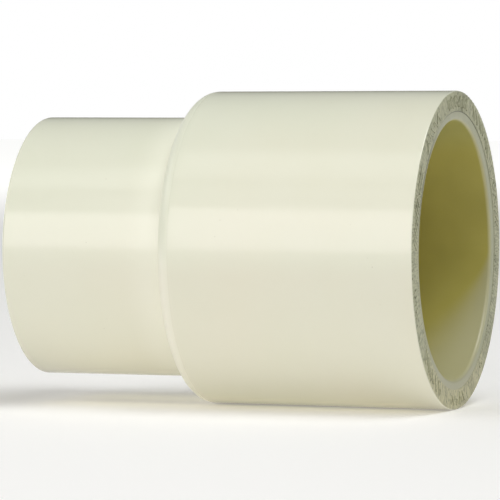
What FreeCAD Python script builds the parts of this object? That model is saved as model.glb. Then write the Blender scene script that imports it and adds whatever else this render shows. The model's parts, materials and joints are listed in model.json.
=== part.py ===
import FreeCAD, Part
import math
import os

# Concentric reducing coupling for copper-tube-size pipe, all sizes in millimetres.
# The bore axis is the X axis. The large mouth opens towards +X and the small one towards -X.
# +Z is up. The origin is on the axis at the bottom of the large socket, where the large
# pipe's end seats.

# Large hub, nominal 1-1/4 in. Its outside widens slightly from the shoulder to the mouth.
LARGE_OUTER_R = 21.5
LARGE_OUTER_R_AT_SHOULDER = 21.37
LARGE_BARREL_LENGTH = 35.75
LARGE_SOCKET_R = 17.51
LARGE_SOCKET_DEPTH = 28.0
LARGE_RIM_ROUND = 0.2

# Small hub, nominal 1 in. Its socket is as deep as the barrel is long.
SMALL_OUTER_R = 17.8
SMALL_BARREL_LENGTH = 23.25
SMALL_SOCKET_R = 14.33
SMALL_RIM_ROUND = 0.4

# Rounded end wall of the large barrel.
SHOULDER_ROUND = 2.0

# Plain lead-in ring round each socket's mouth: a small step down from the end face, then a
# very shallow bevel that rounds over into the bore.
LARGE_LEAD_OUTER_R = 18.8
SMALL_LEAD_OUTER_R = 15.5
LEAD_STEP = 0.06
LEAD_BEVEL_DEPTH = 0.06
LEAD_RING_LENGTH = 1.5
BORE_EDGE_ROUND = 0.5

# Pipe stops and the tapered waterway between them. They fill the shoulder inside the small
# barrel's outside radius, which is where the small barrel leaves the shoulder's back face.
WEB_R = SMALL_OUTER_R
LARGE_STOP_LENGTH = 2.0
LARGE_STOP_R = 14.6
SMALL_STOP_LENGTH = 2.15
SMALL_STOP_R = 12.2
STOP_EDGE_ROUND = 0.4

# Raised ticks on the large end face, in groups with plain stretches between them. The groups
# start at the top and follow each other towards -Y.
TICK_HEIGHT = 0.14
TICK_WIDTH = 0.26
TICK_INNER_R = 19.3
TICK_OUTER_R = 21.0
TICK_SHORT_BY = 0.5
TICK_PITCH_DEG = 2.4
TICK_GROUP_SIZES = (12, 9, 13, 5, 11, 8, 2, 0, 9, 12)
TICK_GROUP_PITCH_DEG = 360.0 / len(TICK_GROUP_SIZES)

# Witness left by the trimmed moulding gate, low on the large rim's +Y side.
GATE_HEIGHT = 0.2
GATE_WIDTH_DEG = 17.0
GATE_CENTRE_DEG = -2.5
GATE_LENGTH = 3.0
GATE_RIM_GAP = 0.35

# Stations along the axis, from the large mouth to the small one.
LARGE_MOUTH_X = LARGE_SOCKET_DEPTH
LARGE_STOP_X = 0.0
THROAT_LARGE_X = LARGE_STOP_X - LARGE_STOP_LENGTH
SHOULDER_X = LARGE_MOUTH_X - LARGE_BARREL_LENGTH
SHOULDER_TANGENT_X = SHOULDER_X + SHOULDER_ROUND
THROAT_SMALL_X = SHOULDER_X + SMALL_STOP_LENGTH
SMALL_MOUTH_X = SHOULDER_X - SMALL_BARREL_LENGTH

AXIS_START = FreeCAD.Vector(0, 0, 0)
AXIS_DIRECTION = FreeCAD.Vector(1, 0, 0)
FULL_TURN = 360.0


def outer_radius(x):
    """Radius of the large barrel's drafted outside at station x."""
    share = (LARGE_MOUTH_X - x) / LARGE_BARREL_LENGTH
    return LARGE_OUTER_R + (LARGE_OUTER_R_AT_SHOULDER - LARGE_OUTER_R) * share


def point(x, r):
    """Point of a half section, at station x along the axis and radius r."""
    return FreeCAD.Vector(x, r, 0)


def line(a, b):
    """Straight edge of a half section between two (x, r) pairs."""
    return Part.makeLine(point(*a), point(*b))


def quarter(start, corner, end):
    """Rounded corner of a half section: the arc from start to end that bulges towards corner."""
    centre_x = start[0] + end[0] - corner[0]
    centre_r = start[1] + end[1] - corner[1]
    across = math.sqrt(0.5)
    middle_x = centre_x + (corner[0] - centre_x) * across
    middle_r = centre_r + (corner[1] - centre_r) * across
    return Part.Arc(point(*start), point(middle_x, middle_r), point(*end)).toShape()


def turned(edges, angle_deg=FULL_TURN):
    """Solid swept about the bore axis from the closed loop of edges."""
    face = Part.Face(Part.Wire(edges))
    return face.revolve(AXIS_START, AXIS_DIRECTION, angle_deg)


def large_hub():
    """Wall of the large socket, from its flat end face back to the shoulder's rounding.

    Behind the socket's bottom the wall opens to the web radius, where the pipe stops sit.
    """
    lead_back = LARGE_MOUTH_X - LEAD_RING_LENGTH
    rim_x = LARGE_MOUTH_X - LARGE_RIM_ROUND
    rim_r = LARGE_OUTER_R - LARGE_RIM_ROUND
    rim_corner = (LARGE_MOUTH_X, LARGE_OUTER_R)
    back_r = outer_radius(SHOULDER_TANGENT_X)
    edges = [
        line((LARGE_MOUTH_X, LARGE_LEAD_OUTER_R), (LARGE_MOUTH_X, rim_r)),
        quarter((LARGE_MOUTH_X, rim_r), rim_corner, (rim_x, LARGE_OUTER_R)),
        line((rim_x, LARGE_OUTER_R), (SHOULDER_TANGENT_X, back_r)),
        line((SHOULDER_TANGENT_X, back_r), (SHOULDER_TANGENT_X, WEB_R)),
        line((SHOULDER_TANGENT_X, WEB_R), (LARGE_STOP_X, WEB_R)),
        line((LARGE_STOP_X, WEB_R), (LARGE_STOP_X, LARGE_SOCKET_R)),
        line((LARGE_STOP_X, LARGE_SOCKET_R), (lead_back, LARGE_SOCKET_R)),
        line((lead_back, LARGE_SOCKET_R), (lead_back, LARGE_LEAD_OUTER_R)),
        line((lead_back, LARGE_LEAD_OUTER_R), (LARGE_MOUTH_X, LARGE_LEAD_OUTER_R)),
    ]
    return turned(edges)


def lead_in(mouth_x, inward, outer_r, bore_r):
    """Lead-in ring at a mouth: stepped down, then bevelled, then rounded over into the bore.

    inward is -1 where the bore runs towards -X from the mouth, and +1 where it runs towards +X.
    """
    face_x = mouth_x + inward * LEAD_STEP
    edge_x = face_x + inward * LEAD_BEVEL_DEPTH
    back_x = mouth_x + inward * LEAD_RING_LENGTH
    bevel_end = (edge_x, bore_r + BORE_EDGE_ROUND)
    bore_start = (edge_x + inward * BORE_EDGE_ROUND, bore_r)
    edges = [
        line((face_x, outer_r), bevel_end),
        quarter(bevel_end, (edge_x, bore_r), bore_start),
        line(bore_start, (back_x, bore_r)),
        line((back_x, bore_r), (back_x, outer_r)),
        line((back_x, outer_r), (face_x, outer_r)),
    ]
    return turned(edges)


def shoulder_ring():
    """Rounded outer corner and flat back face where the large barrel ends."""
    front_r = outer_radius(SHOULDER_TANGENT_X)
    round_end = (SHOULDER_X, front_r - SHOULDER_ROUND)
    edges = [
        line((SHOULDER_TANGENT_X, WEB_R), (SHOULDER_TANGENT_X, front_r)),
        quarter((SHOULDER_TANGENT_X, front_r), (SHOULDER_X, front_r), round_end),
        line(round_end, (SHOULDER_X, WEB_R)),
        line((SHOULDER_X, WEB_R), (SHOULDER_TANGENT_X, WEB_R)),
    ]
    return turned(edges)


def small_hub():
    """Wall of the small socket, from the shoulder's back face to its own end face."""
    lead_back = SMALL_MOUTH_X + LEAD_RING_LENGTH
    rim_x = SMALL_MOUTH_X + SMALL_RIM_ROUND
    rim_r = SMALL_OUTER_R - SMALL_RIM_ROUND
    rim_corner = (SMALL_MOUTH_X, SMALL_OUTER_R)
    edges = [
        line((SHOULDER_X, SMALL_SOCKET_R), (SHOULDER_X, SMALL_OUTER_R)),
        line((SHOULDER_X, SMALL_OUTER_R), (rim_x, SMALL_OUTER_R)),
        quarter((rim_x, SMALL_OUTER_R), rim_corner, (SMALL_MOUTH_X, rim_r)),
        line((SMALL_MOUTH_X, rim_r), (SMALL_MOUTH_X, SMALL_LEAD_OUTER_R)),
        line((SMALL_MOUTH_X, SMALL_LEAD_OUTER_R), (lead_back, SMALL_LEAD_OUTER_R)),
        line((lead_back, SMALL_LEAD_OUTER_R), (lead_back, SMALL_SOCKET_R)),
        line((lead_back, SMALL_SOCKET_R), (SHOULDER_X, SMALL_SOCKET_R)),
    ]
    return turned(edges)


def pipe_stop(seat_x, inward, length, stop_r):
    """Ledge that a pipe's end butts against, with its inner edge rounded.

    seat_x is the seating face, and inward is the direction from it into the ledge along X.
    """
    back_x = seat_x + inward * length
    edge_x = seat_x + inward * STOP_EDGE_ROUND
    edge_r = stop_r + STOP_EDGE_ROUND
    edges = [
        line((seat_x, WEB_R), (seat_x, edge_r)),
        quarter((seat_x, edge_r), (seat_x, stop_r), (edge_x, stop_r)),
        line((edge_x, stop_r), (back_x, stop_r)),
        line((back_x, stop_r), (back_x, WEB_R)),
        line((back_x, WEB_R), (seat_x, WEB_R)),
    ]
    return turned(edges)


def throat():
    """Tapered waterway wall between the two pipe stops."""
    edges = [
        line((THROAT_LARGE_X, LARGE_STOP_R), (THROAT_SMALL_X, SMALL_STOP_R)),
        line((THROAT_SMALL_X, SMALL_STOP_R), (THROAT_SMALL_X, WEB_R)),
        line((THROAT_SMALL_X, WEB_R), (THROAT_LARGE_X, WEB_R)),
        line((THROAT_LARGE_X, WEB_R), (THROAT_LARGE_X, LARGE_STOP_R)),
    ]
    return turned(edges)


def tick(angle_deg, inner_r, outer_r):
    """One raised radial tick on the large end face."""
    corner = FreeCAD.Vector(LARGE_MOUTH_X, -TICK_WIDTH / 2, inner_r)
    bar = Part.makeBox(TICK_HEIGHT, TICK_WIDTH, outer_r - inner_r, corner)
    bar.rotate(AXIS_START, AXIS_DIRECTION, angle_deg)
    return bar


def mouth_marks():
    """Groups of raised ticks round the large end face, alternately long and short."""
    ticks = []
    for group, count in enumerate(TICK_GROUP_SIZES):
        first = group * TICK_GROUP_PITCH_DEG - (count - 1) * TICK_PITCH_DEG / 2
        for index in range(count):
            inner_r = TICK_INNER_R + (TICK_SHORT_BY if index % 2 else 0.0)
            ticks.append(tick(first + index * TICK_PITCH_DEG, inner_r, TICK_OUTER_R))
    return Part.makeCompound(ticks)


def gate_mark():
    """Low pad left where the gate was trimmed, following the barrel's outside."""
    front_x = LARGE_MOUTH_X - GATE_RIM_GAP
    back_x = front_x - GATE_LENGTH
    top = LARGE_OUTER_R + GATE_HEIGHT
    edges = [
        line((front_x, outer_radius(front_x)), (front_x, top)),
        line((front_x, top), (back_x, top)),
        line((back_x, top), (back_x, outer_radius(back_x))),
        line((back_x, outer_radius(back_x)), (front_x, outer_radius(front_x))),
    ]
    pad = turned(edges, GATE_WIDTH_DEG)
    pad.rotate(AXIS_START, AXIS_DIRECTION, GATE_CENTRE_DEG - GATE_WIDTH_DEG / 2)
    return pad


PIECES = {
    "large_hub": large_hub(),
    "large_lead_in": lead_in(LARGE_MOUTH_X, -1, LARGE_LEAD_OUTER_R, LARGE_SOCKET_R),
    "shoulder_ring": shoulder_ring(),
    "small_hub": small_hub(),
    "small_lead_in": lead_in(SMALL_MOUTH_X, 1, SMALL_LEAD_OUTER_R, SMALL_SOCKET_R),
    "large_pipe_stop": pipe_stop(LARGE_STOP_X, -1, LARGE_STOP_LENGTH, LARGE_STOP_R),
    "throat": throat(),
    "small_pipe_stop": pipe_stop(SHOULDER_X, 1, SMALL_STOP_LENGTH, SMALL_STOP_R),
    "mouth_marks": mouth_marks(),
    "gate_mark": gate_mark(),
}

os.makedirs("parts", exist_ok=True)
for name, shape in PIECES.items():
    shape.exportStep("parts/" + name + ".step")
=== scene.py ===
"""Looks of the reducing coupling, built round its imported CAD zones.

The bore axis is X and the large mouth opens towards +X. All lengths are in metres.
"""

from __future__ import annotations

import json
import logging
import math
from dataclasses import dataclass, field
from enum import Enum
from typing import Any, Optional, Union

import bmesh
import bpy
import numpy as np
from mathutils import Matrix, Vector

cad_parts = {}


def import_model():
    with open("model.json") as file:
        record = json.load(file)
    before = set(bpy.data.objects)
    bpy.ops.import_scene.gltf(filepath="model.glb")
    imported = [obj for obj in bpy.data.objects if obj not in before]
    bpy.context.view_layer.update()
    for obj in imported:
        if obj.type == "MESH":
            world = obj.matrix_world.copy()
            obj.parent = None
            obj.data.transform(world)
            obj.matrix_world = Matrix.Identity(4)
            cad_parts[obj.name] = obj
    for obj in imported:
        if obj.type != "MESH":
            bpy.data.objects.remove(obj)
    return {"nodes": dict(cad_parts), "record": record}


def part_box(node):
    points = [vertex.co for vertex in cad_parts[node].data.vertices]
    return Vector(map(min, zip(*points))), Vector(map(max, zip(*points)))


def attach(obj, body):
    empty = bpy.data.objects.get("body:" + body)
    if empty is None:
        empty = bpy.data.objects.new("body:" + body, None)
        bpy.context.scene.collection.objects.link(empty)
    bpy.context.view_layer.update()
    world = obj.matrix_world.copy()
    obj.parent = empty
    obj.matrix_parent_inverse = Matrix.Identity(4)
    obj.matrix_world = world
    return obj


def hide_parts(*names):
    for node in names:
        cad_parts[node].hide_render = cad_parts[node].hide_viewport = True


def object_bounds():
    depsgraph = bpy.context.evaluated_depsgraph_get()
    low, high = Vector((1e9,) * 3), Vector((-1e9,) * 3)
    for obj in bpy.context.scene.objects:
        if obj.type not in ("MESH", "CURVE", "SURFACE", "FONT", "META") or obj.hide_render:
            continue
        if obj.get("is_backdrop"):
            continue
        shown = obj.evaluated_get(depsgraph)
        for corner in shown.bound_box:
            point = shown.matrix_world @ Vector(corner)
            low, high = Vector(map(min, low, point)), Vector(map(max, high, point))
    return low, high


LOG = logging.getLogger("coupling")
MM = 0.001
BODY = "root"
RESIN_IOR = 1.53
RESIN_SPECULAR = 0.65
BUMP_STRENGTH = 0.6
BUMP_DEPTH = 0.02 * MM

Colour = tuple[float, float, float]
Span = tuple[float, float]  # where something starts to change, and where the change is complete


# --------------------------------------------------------------------------------------
# Shader maths
# --------------------------------------------------------------------------------------


class Signal:
    """A shader socket that can be used in a Python expression."""

    def __init__(self, graph: "Graph", socket: bpy.types.NodeSocket) -> None:
        """Wrap one output socket of a graph."""
        self.graph = graph
        self.socket = socket

    def _math(self, operation: str, *values: "Operand") -> "Signal":
        """Add one Math node.

        Args:
            operation: the Math node's operation.
            values: its inputs, in order.

        Returns:
            The node's result.
        """
        settings = {"operation": operation}
        return self.graph.node("ShaderNodeMath", settings, dict(enumerate(values)))

    def __add__(self, other: "Operand") -> "Signal":
        """Sum."""
        return self._math("ADD", self, other)

    __radd__ = __add__

    def __mul__(self, other: "Operand") -> "Signal":
        """Product."""
        return self._math("MULTIPLY", self, other)

    def __sub__(self, other: "Operand") -> "Signal":
        """Difference."""
        return self._math("SUBTRACT", self, other)

    def __rsub__(self, other: "Operand") -> "Signal":
        """Difference with the signal on the right."""
        return self._math("SUBTRACT", other, self)

    def __truediv__(self, other: "Operand") -> "Signal":
        """Quotient."""
        return self._math("DIVIDE", self, other)

    def __neg__(self) -> "Signal":
        """Opposite."""
        return self._math("MULTIPLY", self, -1.0)

    def __abs__(self) -> "Signal":
        """Size without its sign."""
        return self._math("ABSOLUTE", self)

    def root(self) -> "Signal":
        """Square root."""
        return self._math("SQRT", self)

    def clamp(self) -> "Signal":
        """The signal held between 0 and 1."""
        return self.graph.node("ShaderNodeClamp", {}, {"Value": self})

    def ramp(self, low: float, high: float, start: float = 0.0, end: float = 1.0) -> "Signal":
        """Smooth change from one value to another.

        Args:
            low: where the change starts.
            high: where it ends.
            start: the result below low.
            end: the result above high.

        Returns:
            The eased value.
        """
        settings = {"interpolation_type": "SMOOTHSTEP", "clamp": True}
        values = {"Value": self, "From Min": low, "From Max": high, "To Min": start, "To Max": end}
        return self.graph.node("ShaderNodeMapRange", settings, values)

    def fade(self, low: float, high: float) -> "Signal":
        """Smooth change from 1 below low to 0 above high."""
        return self.ramp(low, high, 1.0, 0.0)


Operand = Union[Signal, float, int]


class Graph:
    """A material's or a world's node tree, with one method for every kind of node."""

    def __init__(self, owner: Union[bpy.types.Material, bpy.types.World]) -> None:
        """Start with an empty tree in its owner."""
        self.owner = owner
        owner.use_nodes = True
        self.tree = owner.node_tree
        self.tree.nodes.clear()
        self._place: dict[str, Signal] = {}

    @classmethod
    def material(cls, name: str) -> "Graph":
        """Start the tree of a new material of that name."""
        return cls(bpy.data.materials.new(name))

    def node(
        self,
        kind: str,
        settings: dict[str, Any],
        inputs: dict[Union[str, int], Any],
        output: Union[str, int] = 0,
    ) -> Signal:
        """Add one node.

        Args:
            kind: the node's type.
            settings: its properties, set before its sockets.
            inputs: socket name or number to a value or a Signal.
            output: the output socket that is returned.

        Returns:
            That output as a Signal.
        """
        made = self.tree.nodes.new(kind)
        for key, value in settings.items():
            setattr(made, key, value)
        for key, value in inputs.items():
            socket = made.inputs[key]
            if isinstance(value, Signal):
                self.tree.links.new(value.socket, socket)
            else:
                socket.default_value = value
        return Signal(self, made.outputs[output])

    def object_place(self) -> Signal:
        """Point on the piece, in metres in the row's frame."""
        if "point" not in self._place:
            self._place["point"] = self.node("ShaderNodeTexCoord", {}, {}, "Object")
        return self._place["point"]

    def axis(self, name: str) -> Signal:
        """One coordinate of the point on the piece: "X", "Y" or "Z"."""
        if name not in self._place:
            whole = self.object_place()
            self._place[name] = self.node("ShaderNodeSeparateXYZ", {}, {0: whole}, name)
        return self._place[name]

    def radius(self) -> Signal:
        """Distance from the bore axis."""
        if "radius" not in self._place:
            across, up = self.axis("Y"), self.axis("Z")
            self._place["radius"] = (across * across + up * up).root()
        return self._place["radius"]

    def facing(self, name: str) -> Signal:
        """How far the point lies towards "Y" or "Z" from the bore axis, from -1 to 1."""
        return self.axis(name) / self.radius()

    def vector(self, x: Operand, y: Operand, z: Operand) -> Signal:
        """Three signals as one vector."""
        return self.node("ShaderNodeCombineXYZ", {}, {0: x, 1: y, 2: z})

    def drawn(self, along: float, across: float) -> Signal:
        """Point on the piece, scaled by one factor along the bore axis and another across it."""
        return self.vector(self.axis("X") * along, self.axis("Y") * across, self.axis("Z") * across)

    def noise(self, at: Signal, scale: float, detail: float, rough: float = 0.5) -> Signal:
        """Soft fractal noise between 0 and 1.

        Args:
            at: where the noise is read.
            scale: how many lumps there are in a unit of length.
            detail: how many finer layers are added.
            rough: the strength of the finer layers.

        Returns:
            The noise's value.
        """
        values = {"Vector": at, "Scale": scale, "Detail": detail, "Roughness": rough}
        return self.node("ShaderNodeTexNoise", {"noise_dimensions": "3D"}, values)

    def specks(self, at: Signal, scale: float) -> Signal:
        """Distance to the nearest of many scattered points, in units of their spacing."""
        settings = {"voronoi_dimensions": "3D", "feature": "F1"}
        return self.node("ShaderNodeTexVoronoi", settings, {"Vector": at, "Scale": scale})

    def blend(self, share: Operand, first: Any, second: Any, way: str = "MIX") -> Signal:
        """Mix two colours.

        Args:
            share: 0 gives the first colour and 1 the second.
            first: a Colour or a Signal.
            second: a Colour or a Signal.
            way: the Mix node's blend type.

        Returns:
            The mixed colour.
        """
        settings = {"data_type": "RGBA", "blend_type": way, "clamp_factor": True}
        first = first if isinstance(first, Signal) else (*first, 1.0)
        second = second if isinstance(second, Signal) else (*second, 1.0)
        return self.node("ShaderNodeMix", settings, {0: share, 6: first, 7: second}, 2)

    def tint(self, share: Operand, colour: Signal, by: Colour) -> Signal:
        """Multiply one colour by another, fully where share is 1 and not at all where it is 0."""
        return self.blend(share, colour, by, "MULTIPLY")

    def bump(self, height: Signal, strength: float, depth: float) -> Signal:
        """Surface normal over a height field of the stated depth in metres."""
        values = {"Strength": strength, "Distance": depth, "Height": height}
        return self.node("ShaderNodeBump", {}, values)

    def plastic(self, colour: Signal, rough: Signal, normal: Signal, fixed: dict[str, Any]) -> None:
        """Finish the material with one Principled shader.

        Args:
            colour: the varying base colour.
            rough: the varying roughness.
            normal: the bumped normal.
            fixed: constants for the shader's other sockets.
        """
        linked = {"Base Color": colour, "Roughness": rough, "Normal": normal}
        shader = self.node("ShaderNodeBsdfPrincipled", {}, {**linked, **fixed})
        self.node_sink("ShaderNodeOutputMaterial", {"Surface": shader})

    def node_sink(self, kind: str, inputs: dict[str, Signal]) -> None:
        """Add a node that has inputs and no outputs."""
        made = self.tree.nodes.new(kind)
        for key, value in inputs.items():
            self.tree.links.new(value.socket, made.inputs[key])


# --------------------------------------------------------------------------------------
# Finishes
# --------------------------------------------------------------------------------------


@dataclass(frozen=True)
class Coat:
    """Colour, roughness and height of one finish, before it is laid over another."""

    colour: Signal
    rough: Signal
    height: Signal

    def under(self, top: "Coat", cover: Signal) -> "Coat":
        """Lay another coat over this one.

        Args:
            top: the coat on top.
            cover: 1 where the top coat hides this one and 0 where it is absent.

        Returns:
            The blended coat.
        """
        graph = self.colour.graph
        return Coat(
            graph.blend(cover, self.colour, top.colour),
            self.rough + (top.rough - self.rough) * cover,
            self.height + (top.height - self.height) * cover,
        )

    def close(self, specular: float = RESIN_SPECULAR) -> bpy.types.Material:
        """Finish the graph's material with the resin's own shader."""
        g = self.colour.graph
        normal = g.bump(self.height, BUMP_STRENGTH, BUMP_DEPTH)
        fixed = {"IOR": RESIN_IOR, "Specular IOR Level": specular}
        g.plastic(self.colour, self.rough, normal, fixed)
        return g.owner


@dataclass(frozen=True)
class BarrelCream:
    """Satin cream plastic of the barrels' outsides, straight from a polished mould.

    The bounce-light, barrel and bend spans run along the bore axis, from the shoulder's back face.
    The two half spans run upwards, from the bore axis.
    """

    shoulder: float
    colour: Colour = (0.795, 0.803, 0.652)
    warm: Colour = (0.808, 0.794, 0.640)
    cloudy: Colour = (0.86, 0.86, 0.76)
    speck: Colour = (0.45, 0.42, 0.30)
    # painted bounce light: paler colour in the corner under the shoulder, standing in for light
    # thrown back off the shoulder's back face
    corner: Colour = (0.870, 0.868, 0.730)
    # painted shade: slightly darker, warmer colour over the barrels' lower half
    lower_shade: Colour = (0.985, 0.965, 0.965)
    # painted shade: duller colour over the upper half of the shoulder's rounding
    turned: Colour = (0.94, 0.955, 0.935)
    bounce_light_in: Span = (-6.25 * MM, -0.45 * MM)
    bounce_light_out: Span = (0.95 * MM, 2.25 * MM)
    barrel_in: Span = (-1.25 * MM, 0.25 * MM)
    bend_in: Span = (-0.25 * MM, 0.35 * MM)
    bend_out: Span = (0.95 * MM, 2.95 * MM)
    lower_shade_half: Span = (-3.5 * MM, 0.0)
    shade_upper_half: Span = (-2.0 * MM, 3.0 * MM)
    cloud_scale: float = 95.0
    drift_scale: float = 38.0
    peel_scale: float = 1100.0
    speck_scale: float = 700.0
    patch_scale: float = 150.0
    draw_scale: tuple[float, float] = (12.0, 260.0)
    gloss: float = 0.11

    def coat(self, g: Graph) -> Coat:
        """Faint clouding, axial draw lines, fine orange-peel and a few dark specks.

        Painted bounce light makes the colour paler in the corner under the shoulder; painted shade
        dulls it over the upper half of the rounding and, faintly, over the lower half of the
        barrels.
        """
        place, up = g.object_place(), g.axis("Z")
        ahead = g.axis("X") - self.shoulder
        cloud = g.noise(place, self.cloud_scale, 3.0)
        drift = g.noise(place, self.drift_scale, 1.0)
        flow = g.noise(g.drawn(*self.draw_scale), 1.0, 2.0)
        peel = g.noise(place, self.peel_scale, 2.0)
        specks = g.specks(place, self.speck_scale).fade(0.04, 0.09)
        rare = g.noise(place, self.patch_scale, 1.0).ramp(0.60, 0.66)
        # painted bounce light mask: the corner under the shoulder
        corner = ahead.ramp(*self.bounce_light_in) * ahead.fade(*self.bounce_light_out)
        # painted shade mask: the barrels' lower half, at half strength on the small barrel
        low = up.fade(*self.lower_shade_half) * ahead.ramp(*self.barrel_in, 0.5, 1.0)
        bend = ahead.ramp(*self.bend_in) * ahead.fade(*self.bend_out)
        colour = g.blend(drift.ramp(0.35, 0.65, 0.1, 0.9), self.colour, self.warm)
        colour = g.blend(cloud.ramp(0.3, 0.7, 0.0, 0.12), colour, self.cloudy)
        colour = g.blend(specks * rare * 0.3, colour, self.speck)
        # painted bounce light in the corner under the shoulder
        colour = g.blend(corner, colour, self.corner)
        # painted shade over the barrels' lower half
        colour = g.tint(low, colour, self.lower_shade)
        # painted shade over the upper half of the shoulder's rounding
        colour = g.tint(bend * up.ramp(*self.shade_upper_half), colour, self.turned)
        rough = self.gloss + cloud * 0.04 + flow * 0.03 + bend * 0.22
        return Coat(colour, rough, peel * 0.25 + flow * 0.18 + cloud * 0.35)


@dataclass(frozen=True)
class EtchedFace:
    """Spark-etched end face: greyer, matt, with a fine radial grain."""

    colour: Colour = (0.545, 0.54, 0.375)
    shade: Colour = (0.17, 0.175, 0.10)
    fleck: Colour = (0.62, 0.60, 0.40)
    # painted light: tint that makes the end faces brighter and warmer towards the bottom
    bottom_light_tint: Colour = (1.30, 1.22, 1.14)
    bottom: Span = (0.55, 0.95)
    rays: float = 76.0
    ray_breaks: float = 850.0
    etch_scale: float = 2400.0
    cloud_scale: float = 160.0
    pit_scale: float = 1500.0
    fleck_scale: float = 900.0
    gloss: float = 0.5

    def coat(self, g: Graph) -> Coat:
        """Radial grain, darker pits, pale flecks and soft clouding, with painted light that makes
        it brighter and warmer towards the bottom.
        """
        place = g.object_place()
        turn, rise = g.facing("Y") * self.rays, g.facing("Z") * self.rays
        grain = g.noise(g.vector(turn, rise, g.radius() * self.ray_breaks), 1.0, 3.0, 0.65)
        etch = g.noise(place, self.etch_scale, 2.0, 0.6)
        cloud = g.noise(place, self.cloud_scale, 2.0)
        pits = g.specks(place, self.pit_scale).fade(0.10, 0.40)
        flecks = g.specks(place, self.fleck_scale).ramp(0.06, 0.16, 0.5, 0.0)
        dark = grain.ramp(0.38, 0.68) * 0.65 + pits * 0.45 + cloud.ramp(0.4, 0.7) * 0.3
        colour = g.blend((dark - 0.15).clamp(), self.colour, self.shade)
        colour = g.blend(flecks, colour, self.fleck)
        # painted light towards the bottom of the end faces
        low = (-g.facing("Z")).ramp(*self.bottom, 0.0, 0.75)
        colour = g.tint(low, colour, self.bottom_light_tint)
        rough = self.gloss + grain * 0.15
        return Coat(colour, rough, etch * 1.2 + grain * 2.2 - pits * 1.2)


@dataclass(frozen=True)
class LeadBand:
    """Smooth band that the core pin turned at the bore's mouth.

    The crest-highlight and shade spans run outwards from the socket's wall. The step-shadow
    span runs outwards from the band's outer edge, so it is negative.
    """

    colour: Colour = (0.455, 0.455, 0.305)
    dull: Colour = (0.38, 0.39, 0.26)
    cloudy: Colour = (0.58, 0.58, 0.46)
    # painted highlight along the band's inner crest
    crest: Colour = (0.78, 0.74, 0.50)
    # painted shade: dark colour of the painted shadow line along the band's outer edge and of the
    # painted shade near the top
    painted_band_shade: Colour = (0.13, 0.13, 0.07)
    # painted light: paler, warmer colour at the band's very bottom
    bottom: Colour = (0.50, 0.485, 0.335)
    hidden: Colour = (0.86, 0.85, 0.72)
    crest_in: Span = (0.10 * MM, 0.25 * MM)
    crest_out: Span = (0.32 * MM, 0.52 * MM)
    shade_in: Span = (0.5 * MM, 0.65 * MM)
    step_shadow_in: Span = (-0.20 * MM, -0.05 * MM)
    ring_scale: float = 5200.0
    cloud_scale: float = 220.0
    gloss: float = 0.32

    def coat(self, g: Graph, seat: float, bore: float) -> Coat:
        """Turned rings between a painted shadow line along the outer edge and a painted highlight
        on the inner crest.

        The crest's painted highlight is strongest on the near side and low on the far one, and the
        painted shadow line towards the top. Near the top, the near side's outer half is darker, in
        painted shade. Painted light makes the band paler and warmer at the very bottom.

        Args:
            g: the material's graph.
            seat: the band's outer radius.
            bore: the socket's radius.

        Returns:
            The band's coat.
        """
        out_of_bore, out_of_seat = g.radius() - bore, g.radius() - seat
        rise, fall = g.facing("Z"), -g.facing("Z")
        near = (-g.facing("Y")).ramp(0.35, 0.85)
        brow = near * rise.ramp(0.05, 0.4)
        under = fall.ramp(0.15, 0.5) * fall.fade(0.75, 0.96)
        rings = g.noise(g.vector(g.radius() * self.ring_scale, 0.0, 0.0), 1.0, 2.0)
        cloud = g.noise(g.object_place(), self.cloud_scale, 2.0)
        colour = g.blend(rings.ramp(0.4, 0.7, 0.0, 0.35), self.colour, self.dull)
        colour = g.blend(cloud.ramp(0.4, 0.7, 0.0, 0.3), colour, self.cloudy)
        # painted highlight on the crest, strongest on the near side and low on the far one
        crest = out_of_bore.ramp(*self.crest_in) * out_of_bore.fade(*self.crest_out)
        crest_highlight_share = (near + under * 0.8).clamp() * 0.5 + 0.04 + brow * 0.8
        colour = g.blend(crest * crest_highlight_share, colour, self.crest)
        upper = (rise + near * 0.6).ramp(0.0, 1.0, 0.25, 1.0)
        # painted shadow line along the band's outer edge, strongest towards the top
        colour = g.blend(out_of_seat.ramp(*self.step_shadow_in) * upper, colour, self.painted_band_shade)
        # painted shade over the near side's outer half, near the top
        colour = g.blend(out_of_bore.ramp(*self.shade_in) * brow * 0.8, colour, self.painted_band_shade)
        # painted light at the band's very bottom
        colour = g.blend(fall.ramp(0.7, 0.98), colour, self.bottom)
        colour = g.tint(near, colour, self.hidden)
        return Coat(colour, self.gloss + rings * 0.1, rings * 0.5 + cloud * 0.4)


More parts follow.
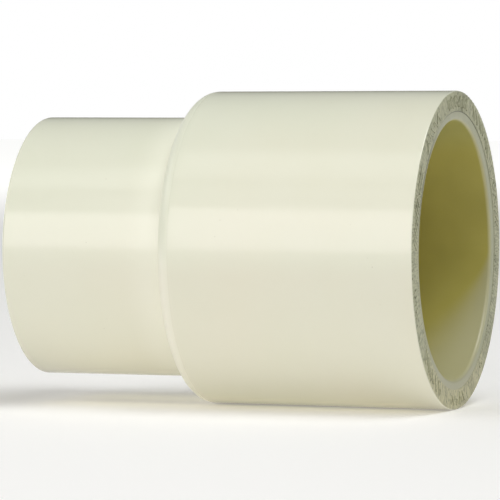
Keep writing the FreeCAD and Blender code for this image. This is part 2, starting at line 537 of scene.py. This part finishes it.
@dataclass(frozen=True)
class ShadedBoreOlive:
    """Smooth cored bore, where the resin looks deeper and more yellow, partly its own tone and
    partly painted shade.

    The painted light that makes the bore paler inside each mouth fades out over a depth of
    about least, which grows by up to reach along the bottom.
    """

    # deeper, more yellow tone: partly the resin's own and partly painted shade inside the bore
    colour: Colour = (0.59, 0.525, 0.150)
    deep: Colour = (0.50, 0.445, 0.115)
    # painted light: paler colour inside each mouth, reaching deepest along the bottom
    mouth_light: Colour = (0.545, 0.52, 0.315)
    crown: Colour = (1.0, 1.06, 1.4)
    crown_in: Span = (0.7, 0.95)
    mouth_light_out: Span = (0.2, 1.9)
    cloud_scale: float = 70.0
    peel_scale: float = 800.0
    draw_scale: tuple[float, float] = (10.0, 320.0)
    gloss: float = 0.3
    least: float = 0.45 * MM
    reach: float = 10.5 * MM

    @staticmethod
    def _lesser(first: Signal, second: Signal) -> Signal:
        """The smaller of two signals."""
        return (first + second - abs(first - second)) * 0.5

    def coat(self, g: Graph, mouths: tuple[float, float]) -> Coat:
        """Soft flow clouds and draw marks, greyer along the top and paler inside each mouth in
        painted light.

        Args:
            g: the material's graph.
            mouths: the stations of the large and small mouths on the bore axis.

        Returns:
            The bore's coat.
        """
        place, x, rise = g.object_place(), g.axis("X"), g.facing("Z")
        cloud = g.noise(place, self.cloud_scale, 3.0)
        marks = g.noise(g.drawn(*self.draw_scale), 1.0, 2.0)
        peel = g.noise(place, self.peel_scale, 2.0)
        colour = g.blend(cloud.ramp(0.3, 0.7), self.colour, self.deep)
        colour = g.tint(rise.ramp(*self.crown_in), colour, self.crown)
        large, small = mouths
        # painted light mask: reaches deepest along the bottom
        low = (-rise - 0.05).clamp()
        reach = low * low.root() * self.reach + self.least
        depth = self._lesser(large - x, x - small) / reach
        # painted light inside each mouth
        colour = g.blend(depth.fade(*self.mouth_light_out), colour, self.mouth_light)
        return Coat(colour, self.gloss + marks * 0.1, marks * 0.6 + peel * 0.3)


@dataclass(frozen=True)
class Socket:
    """Where one socket is: its mouth on the bore axis, its radius and its band's outer radius."""

    mouth: float
    bore: float
    seat: float


@dataclass(frozen=True)
class Moulding:
    """One moulding's finishes, laid over each other by place on the part.

    An end face's finish ends two edges behind its mouth. The bore's finish is whole out to one
    gap outside a socket's wall and gone at the band's outer radius. Over the halfway span it
    passes from the small socket's wall to the large one's.
    """

    large: Socket
    small: Socket
    barrel: BarrelCream
    face: EtchedFace = EtchedFace()
    band: LeadBand = LeadBand()
    bore: ShadedBoreOlive = ShadedBoreOlive()
    edge: float = 0.03 * MM
    gap: float = 0.2 * MM
    halfway: Span = (-5.0 * MM, -4.0 * MM)
    band_in: Span = (0.05 * MM, 0.35 * MM)
    # painted shadow at the roots of the raised marks and painted highlight on their tops
    mark_root_shadow: Span = (0.01 * MM, 0.11 * MM)
    mark_top_highlight: Span = (0.11 * MM, 0.135 * MM)
    mark_tip_highlight: Colour = (0.70, 0.69, 0.52)

    def _bore_coat(self, g: Graph) -> Coat:
        """The bore's coat, paler inside both mouths in painted light."""
        return self.bore.coat(g, (self.large.mouth, self.small.mouth))

    def hub(self) -> bpy.types.Material:
        """Barrel outside, etched end faces and the bore inside."""
        g = Graph.material("moulded_hub")
        x, radius = g.axis("X"), g.radius()
        at_large = x.ramp(self.large.mouth - 2 * self.edge, self.large.mouth - self.edge)
        at_small = x.fade(self.small.mouth + self.edge, self.small.mouth + 2 * self.edge)
        ends = at_large + at_small
        wall_large = radius.fade(self.large.bore + self.gap, self.large.seat)
        wall_small = radius.fade(self.small.bore + self.gap, self.small.seat)
        wall = wall_small + (wall_large - wall_small) * x.ramp(*self.halfway)
        outside = self.barrel.coat(g).under(self.face.coat(g), ends)
        return outside.under(self._bore_coat(g), wall * (1.0 - ends.clamp())).close()

    def lead_in(self, name: str, socket: Socket) -> bpy.types.Material:
        """Turned band that rounds over into the bore.

        Args:
            name: the material's name.
            socket: the socket that the band surrounds.

        Returns:
            The material.
        """
        g = Graph.material(name)
        cover = (g.radius() - socket.bore).ramp(*self.band_in)
        return self._bore_coat(g).under(self.band.coat(g, socket.seat, socket.bore), cover).close()

    def deep(self) -> bpy.types.Material:
        """Bore resin, with its painted shade, for the stops and the throat."""
        return self._bore_coat(Graph.material("shaded_bore_resin")).close()

    def mark(self) -> bpy.types.Material:
        """Etched face for the raised marks, with painted shadow at their roots and painted
        highlight on their tops.
        """
        g = Graph.material("raised_mark")
        coat = self.face.coat(g)
        out = g.axis("X") - self.large.mouth
        # painted shadow at the marks' roots
        colour = g.blend(out.ramp(*self.mark_root_shadow, 0.85, 0.0), coat.colour, self.face.shade)
        # painted highlight on the marks' tops
        colour = g.blend(out.ramp(*self.mark_top_highlight, 0.0, 0.4), colour, self.mark_tip_highlight)
        return Coat(colour, coat.rough, coat.height).close()


@dataclass(frozen=True)
class TornGate:
    """Trimmed gate witness: the barrel's resin, torn and slightly darker."""

    barrel: BarrelCream
    shade: Colour = (0.40, 0.38, 0.26)
    tear_scale: tuple[float, float] = (2600.0, 40.0)
    specular: float = 0.5

    def build(self) -> bpy.types.Material:
        """Barrel cream under streaks of torn, matt resin that run across the barrel."""
        g = Graph.material("torn_gate")
        coat = self.barrel.coat(g)
        torn = g.noise(g.drawn(*self.tear_scale), 1.0, 3.0, 0.6)
        colour = g.blend(torn.ramp(0.4, 0.7, 0.0, 0.35), coat.colour, self.shade)
        return Coat(colour, coat.rough + torn * 0.35, coat.height + torn * 1.5).close(self.specular)


@dataclass(frozen=True)
class BenchWhite:
    """Plain pale floor with a soft glow that grows away from the part.

    A second, weak glow lies on both sides of the line on which the part rests.
    """

    colour: Colour = (0.88, 0.858, 0.848)
    dusty: Colour = (0.8, 0.8, 0.79)
    dark: Colour = (0.0, 0.0, 0.0)
    glow: Colour = (1.0, 1.0, 0.99)
    near_glow: float = 0.16
    far_glow: float = 0.75
    away_in: Span = (0.5, 1.6)
    foot_glow: Colour = (0.245, 0.24, 0.20)
    foot_in: Span = (0.5 * MM, 5.0 * MM)
    foot_out: Span = (6.0 * MM, 16.0 * MM)
    left_in: Span = (-34.0 * MM, -20.0 * MM)
    right_out: Span = (20.0 * MM, 32.0 * MM)
    tooth_scale: float = 300.0

    def build(self) -> bpy.types.Material:
        """Matt white with a faint tooth, evenly bright out to its edge."""
        g = Graph.material("bench_white")
        across, back = g.axis("X"), g.axis("Y")
        tooth = g.noise(g.object_place(), self.tooth_scale, 2.0)
        colour = g.blend(tooth * 0.04, self.colour, self.dusty)
        away = (across * across + back * back).root()
        share = away.ramp(*self.away_in, self.near_glow, self.far_glow)
        foot = abs(back).ramp(*self.foot_in) * abs(back).fade(*self.foot_out)
        under_part = across.ramp(*self.left_in) * across.fade(*self.right_out)
        pale = g.blend(share, self.dark, self.glow)
        fixed = {
            "Emission Color": g.blend(foot * under_part, pale, self.foot_glow),
            "Emission Strength": 1.0,
            "Specular IOR Level": 0.1,
        }
        g.plastic(colour, 0.85 + tooth * 0.1, g.bump(tooth, 0.05, 0.1 * MM), fixed)
        return g.owner


# --------------------------------------------------------------------------------------
# Surfaces
# --------------------------------------------------------------------------------------


def grid_faces(rows: int, columns: int, wrap: bool = False) -> np.ndarray:
    """Quads of a grid of points stored row by row.

    Args:
        rows: number of rows of points.
        columns: number of points in a row.
        wrap: whether the last column joins the first.

    Returns:
        An array of four point numbers for each face.
    """
    last = columns if wrap else columns - 1
    i, j = np.meshgrid(np.arange(rows - 1), np.arange(last), indexing="ij")
    a = i * columns + j
    b = i * columns + (j + 1) % columns
    return np.stack([a, b, b + columns, a + columns], axis=-1).reshape(-1, 4)


def mesh_object(name: str, points: np.ndarray, faces: np.ndarray) -> bpy.types.Object:
    """Put points and quads into a new object at the origin.

    Args:
        name: the object's name.
        points: an array of points in metres.
        faces: an array of point numbers for each face.

    Returns:
        The linked object, smooth shaded.
    """
    mesh = bpy.data.meshes.new(name)
    mesh.from_pydata(points.tolist(), [], faces.tolist())
    mesh.polygons.foreach_set("use_smooth", np.ones(len(faces), dtype=bool))
    mesh.update()
    made = bpy.data.objects.new(name, mesh)
    bpy.context.scene.collection.objects.link(made)
    return made


def place_round_axis(along: np.ndarray, radius: np.ndarray, angle: np.ndarray) -> np.ndarray:
    """Points from cylinder coordinates about the bore axis.

    The point is (along, -radius sin angle, radius cos angle), so angle 0 is straight up and
    a positive angle leans towards -Y, which is the CAD's own way of counting.
    """
    return np.stack([along, -radius * np.sin(angle), radius * np.cos(angle)], axis=-1)


def close_mesh(piece: bpy.types.Object) -> None:
    """Merge a piece's coincident points and turn its faces outwards."""
    work = bmesh.new()
    work.from_mesh(piece.data)
    bmesh.ops.remove_doubles(work, verts=work.verts, dist=1e-7)
    bmesh.ops.dissolve_degenerate(work, edges=work.edges, dist=1e-8)
    bmesh.ops.recalc_face_normals(work, faces=work.faces)
    work.to_mesh(piece.data)
    work.free()


class Stroke(Enum):
    """Plain raised shapes that fill a group of rim marks."""

    FINE = "close radial ticks"
    LEFT = "ticks that lean back"
    RIGHT = "ticks that lean forward"
    SHORT = "short ticks at the rim"
    DOT = "round dots"


@dataclass(frozen=True)
class StrokeSize:
    """Size of one kind of stroke, as shares of the marked band's width."""

    half_width: float
    half_length: float
    middle: float
    lean: float
    steps: int


@dataclass(frozen=True)
class StrokePlace:
    """Where one stroke is: its angle, its kind, the share of its length and its slide outwards."""

    angle: float
    stroke: Stroke
    share: float
    slide: float


@dataclass
class RimMarks:
    """Raised generic marks in groups on the large end face, with rounded tops."""

    group_sizes: tuple[int, ...] = (12, 9, 13, 5, 11, 8, 2, 0, 9, 12)
    group_strokes: tuple[Stroke, ...] = (
        Stroke.FINE,
        Stroke.LEFT,
        Stroke.RIGHT,
        Stroke.SHORT,
        Stroke.LEFT,
        Stroke.SHORT,
        Stroke.DOT,
        Stroke.DOT,
        Stroke.RIGHT,
        Stroke.LEFT,
    )
    pitch: float = math.radians(2.4)
    inner: float = 19.1 * MM
    outer: float = 21.0 * MM
    sink: float = 0.02 * MM
    seed: int = 7
    odd_share: float = 0.22
    shortest: float = 0.62
    around: int = 12
    rings: int = 11
    made: Optional[bpy.types.Object] = field(default=None, init=False)

    @staticmethod
    def _size(stroke: Stroke) -> StrokeSize:
        """Proportions of a kind of stroke."""
        sizes = {
            Stroke.FINE: StrokeSize(0.10, 0.96, 0.0, 0.0, 2),
            Stroke.LEFT: StrokeSize(0.13, 0.96, 0.0, 0.62, 1),
            Stroke.RIGHT: StrokeSize(0.13, 0.96, 0.0, -0.62, 1),
            Stroke.SHORT: StrokeSize(0.12, 0.55, 0.4, 0.15, 1),
            Stroke.DOT: StrokeSize(0.22, 0.22, 0.0, 0.0, 1),
        }
        return sizes[stroke]

    def _places(self) -> list[StrokePlace]:
        """The place of every stroke, group by group."""
        step = 2.0 * math.pi / len(self.group_sizes)
        rng = np.random.default_rng(self.seed)
        places = []
        for group, (count, main) in enumerate(zip(self.group_sizes, self.group_strokes)):
            per_tick = self._size(main).steps
            total = max(0, (count - 1) * per_tick + 1) if count else 0
            first = group * step - (count - 1) * self.pitch / 2.0
            for index in range(total):
                odd = rng.random() < self.odd_share
                kind = list(Stroke)[int(rng.integers(0, 4))] if odd else main
                share = rng.uniform(self.shortest, 1.0)
                slide = rng.uniform(-1.0, 1.0) * (1.0 - share)
                angle = first + index * self.pitch / per_tick
                places.append(StrokePlace(angle, kind, share, slide))
        return places

    def _one(self, face_x: float, height: float, place: StrokePlace) -> np.ndarray:
        """Points of one closed, pillow-shaped stroke: loops along it and a point at each end.

        With v from -1 to 1 along the stroke and t once round it, the plan shrinks towards
        the ends as c = sqrt(1 - v^6). The point stands w c cos t to one side and
        h c (sin t)^0.6 above the face, or a little below the face where sin t is negative.

        Args:
            face_x: where the end face is on the bore axis.
            height: how far the stroke stands out of the face.
            place: the stroke's place on the face.

        Returns:
            An array of points in metres.
        """
        size = self._size(place.stroke)
        half_band = (self.outer - self.inner) / 2.0
        middle = (self.outer + self.inner) / 2.0 + (size.middle + place.slide) * half_band
        v, t = np.meshgrid(
            np.sin(np.linspace(-1, 1, self.rings) * math.pi / 2.0),
            np.arange(self.around) * 2.0 * math.pi / self.around,
            indexing="ij",
        )
        shrink = np.sqrt(np.clip(1.0 - v**6, 0.0, 1.0))
        rise = np.clip(np.sin(t), 0.0, 1.0) ** 0.6
        dip = np.clip(-np.sin(t), 0.0, 1.0) ** 0.6
        side = size.half_width * half_band * shrink * np.cos(t)
        radius = middle + v * size.half_length * place.share * half_band
        lean = size.lean * v * half_band
        along = face_x + shrink * (height * rise - self.sink * dip)
        angle = place.angle + (side + lean) / middle
        return place_round_axis(along, radius, angle).reshape(-1, 3)

    def build(self) -> None:
        """Make every stroke as one piece with its end loops merged to points."""
        low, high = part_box("mouth_marks")
        strokes = [self._one(low.x, high.x - low.x, place) for place in self._places()]
        quads = grid_faces(self.rings, self.around, wrap=True)
        shift = self.rings * self.around
        faces = [quads + number * shift for number in range(len(strokes))]
        self.made = mesh_object("rim_marks", np.concatenate(strokes), np.concatenate(faces))
        close_mesh(self.made)

    def dress(self, finish: bpy.types.Material) -> None:
        """Give the marks their finish and put them in the CAD ticks' place."""
        self.made.data.materials.append(finish)
        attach(self.made, BODY)
        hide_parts("mouth_marks")


@dataclass
class GateScar:
    """Trimmed gate witness on the rim's far side: a low pad with a torn, uneven top."""

    rows: int = 76
    columns: int = 36
    root: float = 0.06 * MM
    waves: int = 5
    seed: int = 11
    made: Optional[bpy.types.Object] = field(default=None, init=False)

    def _relief(self, u: np.ndarray, v: np.ndarray) -> np.ndarray:
        """Sheared relief between 0.76 and 1: parallel cut lines across the pad.

        The lines are a clipped sum of sine waves of v + 0.04 u, so that they all lean the
        same way, over a slow swell that is one sine wave of u.
        """
        rng = np.random.default_rng(self.seed)
        across = v + 0.04 * u
        lines = np.zeros_like(u)
        for _ in range(self.waves):
            lines += np.sin(across * rng.uniform(14, 34) + rng.uniform(0, 6.28)) / self.waves
        return 0.88 + 0.05 * np.sin(u * 2.3 + 0.7) + 0.07 * np.clip(lines * 1.7, -1.0, 1.0)

    def build(self) -> None:
        """Make the pad: a grid on the barrel raised by an edge fall-off times the relief.

        With u and v from -1 to 1 over the pad, the lift is (1 - u^8)(1 - v^6) times the
        relief. A second grid lies just under the barrel's skin and the two share a wall.
        """
        low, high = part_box("gate_mark")
        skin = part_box("large_hub")[1].z
        half_turn = math.asin((high.z - low.z) / 2.0 / high.y)
        middle = -math.pi / 2.0 - math.asin((high.z + low.z) / 2.0 / high.y)
        u, v = np.meshgrid(np.linspace(-1, 1, self.columns), np.linspace(-1, 1, self.rows))
        lift = (1.0 - u**8) * (1.0 - v**6) * self._relief(u, v)
        along = (low.x + high.x) / 2.0 + v * (high.x - low.x) / 2.0
        turn = middle + u * half_turn
        base = skin - self.root / 3.0
        top = place_round_axis(along, base + (high.y - base) * lift, turn).reshape(-1, 3)
        under = place_round_axis(along, np.full_like(u, skin - self.root), turn).reshape(-1, 3)
        quads = grid_faces(self.rows, self.columns)
        faces = np.concatenate([quads, quads[:, ::-1] + len(top), self._wall(len(top))])
        self.made = mesh_object("gate_scar", np.concatenate([top, under]), faces)
        close_mesh(self.made)

    def _wall(self, shift: int) -> np.ndarray:
        """Quads that join the edge of the top grid to the edge of the grid under it."""
        index = np.arange(self.rows * self.columns).reshape(self.rows, self.columns)
        loop = np.concatenate([index[0], index[1:, -1], index[-1, -2::-1], index[-2:0:-1, 0]])
        after = np.roll(loop, -1)
        return np.stack([after, loop, loop + shift, after + shift], axis=-1)

    def dress(self, finish: bpy.types.Material) -> None:
        """Give the witness its finish and put it in the CAD pad's place."""
        self.made.data.materials.append(finish)
        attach(self.made, BODY)
        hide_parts("gate_mark")


# --------------------------------------------------------------------------------------
# CAD zones
# --------------------------------------------------------------------------------------


@dataclass
class MouldedZones:
    """The moulding's own CAD zones, which keep their shape and take the resin's finishes."""

    nodes: dict[str, bpy.types.Object]
    moulding: Moulding

    def dress(self) -> None:
        """Give every zone the finish of its place on the moulding."""
        made = self.moulding
        hub, deep = made.hub(), made.deep()
        finishes = {
            "large_lead_in": made.lead_in("large_band", made.large),
            "small_lead_in": made.lead_in("small_band", made.small),
            "large_pipe_stop": deep,
            "throat": deep,
            "small_pipe_stop": deep,
        }
        for name, node in self.nodes.items():
            finish = finishes.get(name, hub)
            for slot in node.material_slots:
                slot.material = finish
            LOG.info("dressed %s in %s", name, finish.name)


# --------------------------------------------------------------------------------------
# Studio
# --------------------------------------------------------------------------------------


def towards(azimuth: float, elevation: float) -> Vector:
    """Direction from the part at an azimuth and elevation in degrees; azimuth 0 is -Y."""
    a, e = math.radians(azimuth), math.radians(elevation)
    return Vector((math.sin(a) * math.cos(e), -math.cos(a) * math.cos(e), math.sin(e)))


@dataclass(frozen=True)
class SoftBox:
    """One soft area light aimed at the part."""

    name: str
    azimuth: float
    elevation: float
    distance: float
    width: float
    height: float
    radiance: float
    tint: Colour = (1.0, 1.0, 1.0)

    def build(self, target: Vector) -> None:
        """Place the light at its angle and distance from the target, facing it."""
        back = towards(self.azimuth, self.elevation)
        light = bpy.data.lights.new(self.name, "AREA")
        light.shape = "RECTANGLE"
        light.size, light.size_y = self.width, self.height
        light.energy = self.radiance * math.pi * self.width * self.height
        light.color = self.tint
        made = bpy.data.objects.new(self.name, light)
        made.location = target + back * self.distance
        made.rotation_mode = "QUATERNION"
        made.rotation_quaternion = back.to_track_quat("Z", "Y")
        bpy.context.scene.collection.objects.link(made)


# Each row: name, azimuth and elevation in degrees, distance, width, height, radiance and tint.
LIGHTS = (
    SoftBox("key", -19.0, 14.3, 0.75, 0.46, 0.38, 2.25, (1.05, 0.99, 1.0)),
    SoftBox("front_fill", -10.0, 38.0, 1.3, 0.7, 0.4, 0.70, (0.975, 1.0, 0.99)),
    SoftBox("top_left", -20.0, 60.0, 1.3, 0.7, 0.5, 0.85, (0.97, 1.0, 0.985)),
    SoftBox("top_right", 45.0, 55.0, 1.3, 0.7, 0.5, 2.1, (0.97, 1.0, 0.985)),
    SoftBox("overhead", 80.0, 70.0, 1.3, 0.7, 0.6, 4.6, (0.975, 1.0, 0.985)),
    SoftBox("left_fill", -72.0, 30.0, 1.3, 0.7, 0.5, 1.5),
    SoftBox("back_fill", 235.0, 4.0, 1.3, 0.9, 0.6, 1.8),
)


@dataclass(frozen=True)
class Studio:
    """Floor, lights, surroundings and camera, round a part with the stated box."""

    low: Vector
    high: Vector
    floor_half: float = 3.0
    floor_points: int = 13
    surround: Colour = (0.2425, 0.25, 0.245)
    flag: Colour = (0.06, 0.06, 0.06)
    flag_back: Span = (0.3, 0.8)
    flag_top: Span = (0.15, 0.45)
    white: Colour = (1.0, 1.0, 1.0)
    azimuth: float = 18.94
    elevation: float = 2.24
    distance: float = 0.5345
    lens: float = 285.6
    sensor: float = 36.0
    clip: tuple[float, float] = (0.01, 20.0)
    aim_right: float = 0.02794
    aim_up: float = -0.04 * MM

    def build(self, mouth: Vector) -> None:
        """Make the whole studio; mouth is the large mouth's centre."""
        self._floor()
        self._surroundings()
        for light in LIGHTS:
            light.build((self.low + self.high) / 2.0)
        self._camera(mouth)

    def _floor(self) -> None:
        """Lay a flat square floor under the part, as a grid so that it isn't one long quad."""
        side = np.linspace(-self.floor_half, self.floor_half, self.floor_points)
        x, y = np.meshgrid(side, side)
        points = np.stack([x, y, np.full_like(x, self.low.z)], axis=-1).reshape(-1, 3)
        floor = mesh_object("floor", points, grid_faces(self.floor_points, self.floor_points))
        floor.data.materials.append(BenchWhite().build())
        floor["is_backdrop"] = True

    def _surroundings(self) -> None:
        """White to the camera, and a dim soft surround, darkest behind, for all that it lights."""
        world = bpy.data.worlds.new("surroundings")
        bpy.context.scene.world = world
        g = Graph(world)
        look = g.node("ShaderNodeTexCoord", {}, {}, "Generated")
        back = g.node("ShaderNodeSeparateXYZ", {}, {0: look}, "Y")
        up = g.node("ShaderNodeSeparateXYZ", {}, {0: look}, "Z")
        behind = back.ramp(*self.flag_back) * up.fade(*self.flag_top)
        glow = g.blend(behind, self.surround, self.flag)
        lit = g.node("ShaderNodeBackground", {}, {"Color": glow})
        seen = g.node("ShaderNodeBackground", {}, {"Color": (*self.white, 1.0)})
        direct = g.node("ShaderNodeLightPath", {}, {}, "Is Camera Ray")
        mix = g.node("ShaderNodeMixShader", {}, {0: direct, 1: lit, 2: seen})
        g.node_sink("ShaderNodeOutputWorld", {"Surface": mix})

    def _camera(self, mouth: Vector) -> None:
        """Long-lens camera at its viewing angle, whose middle line passes left of the mouth."""
        back = towards(self.azimuth, self.elevation)
        right = Vector((0.0, 0.0, 1.0)).cross(back).normalized()
        up = back.cross(right)
        data = bpy.data.cameras.new("camera")
        data.lens, data.sensor_width = self.lens, self.sensor
        data.clip_start, data.clip_end = self.clip
        made = bpy.data.objects.new("camera", data)
        made.location = mouth + back * self.distance - right * self.aim_right - up * self.aim_up
        made.rotation_mode = "QUATERNION"
        made.rotation_quaternion = (-back).to_track_quat("-Z", "Y")
        bpy.context.scene.collection.objects.link(made)
        bpy.context.scene.camera = made


def main() -> None:
    """Load the frame, dress it, add the fine pieces and the studio."""
    logging.basicConfig(level=logging.INFO, format="%(name)s: %(message)s")
    bpy.context.scene.view_settings.view_transform = "Standard"
    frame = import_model()
    cad_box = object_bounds()
    mounts = {mount["name"]: mount["dims"]["r_mm"] * MM for mount in frame["record"]["mounts"]}
    large_mouth, small_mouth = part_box("large_hub")[1].x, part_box("small_hub")[0].x
    large_seat, small_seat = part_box("large_lead_in")[1].z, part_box("small_lead_in")[1].z
    barrel = BarrelCream(shoulder=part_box("shoulder_ring")[0].x)
    moulding = Moulding(
        large=Socket(large_mouth, mounts["large_socket"], large_seat),
        small=Socket(small_mouth, mounts["small_socket"], small_seat),
        barrel=barrel,
    )
    MouldedZones(dict(frame["nodes"]), moulding).dress()
    marks = RimMarks()
    marks.build()
    marks.dress(moulding.mark())
    LOG.info("built %s", marks.made.name)
    scar = GateScar()
    scar.build()
    scar.dress(TornGate(barrel).build())
    LOG.info("built %s", scar.made.name)
    Studio(*cad_box).build(Vector((large_mouth, 0.0, 0.0)))
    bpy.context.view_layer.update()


if __name__ == "__main__":
    main()
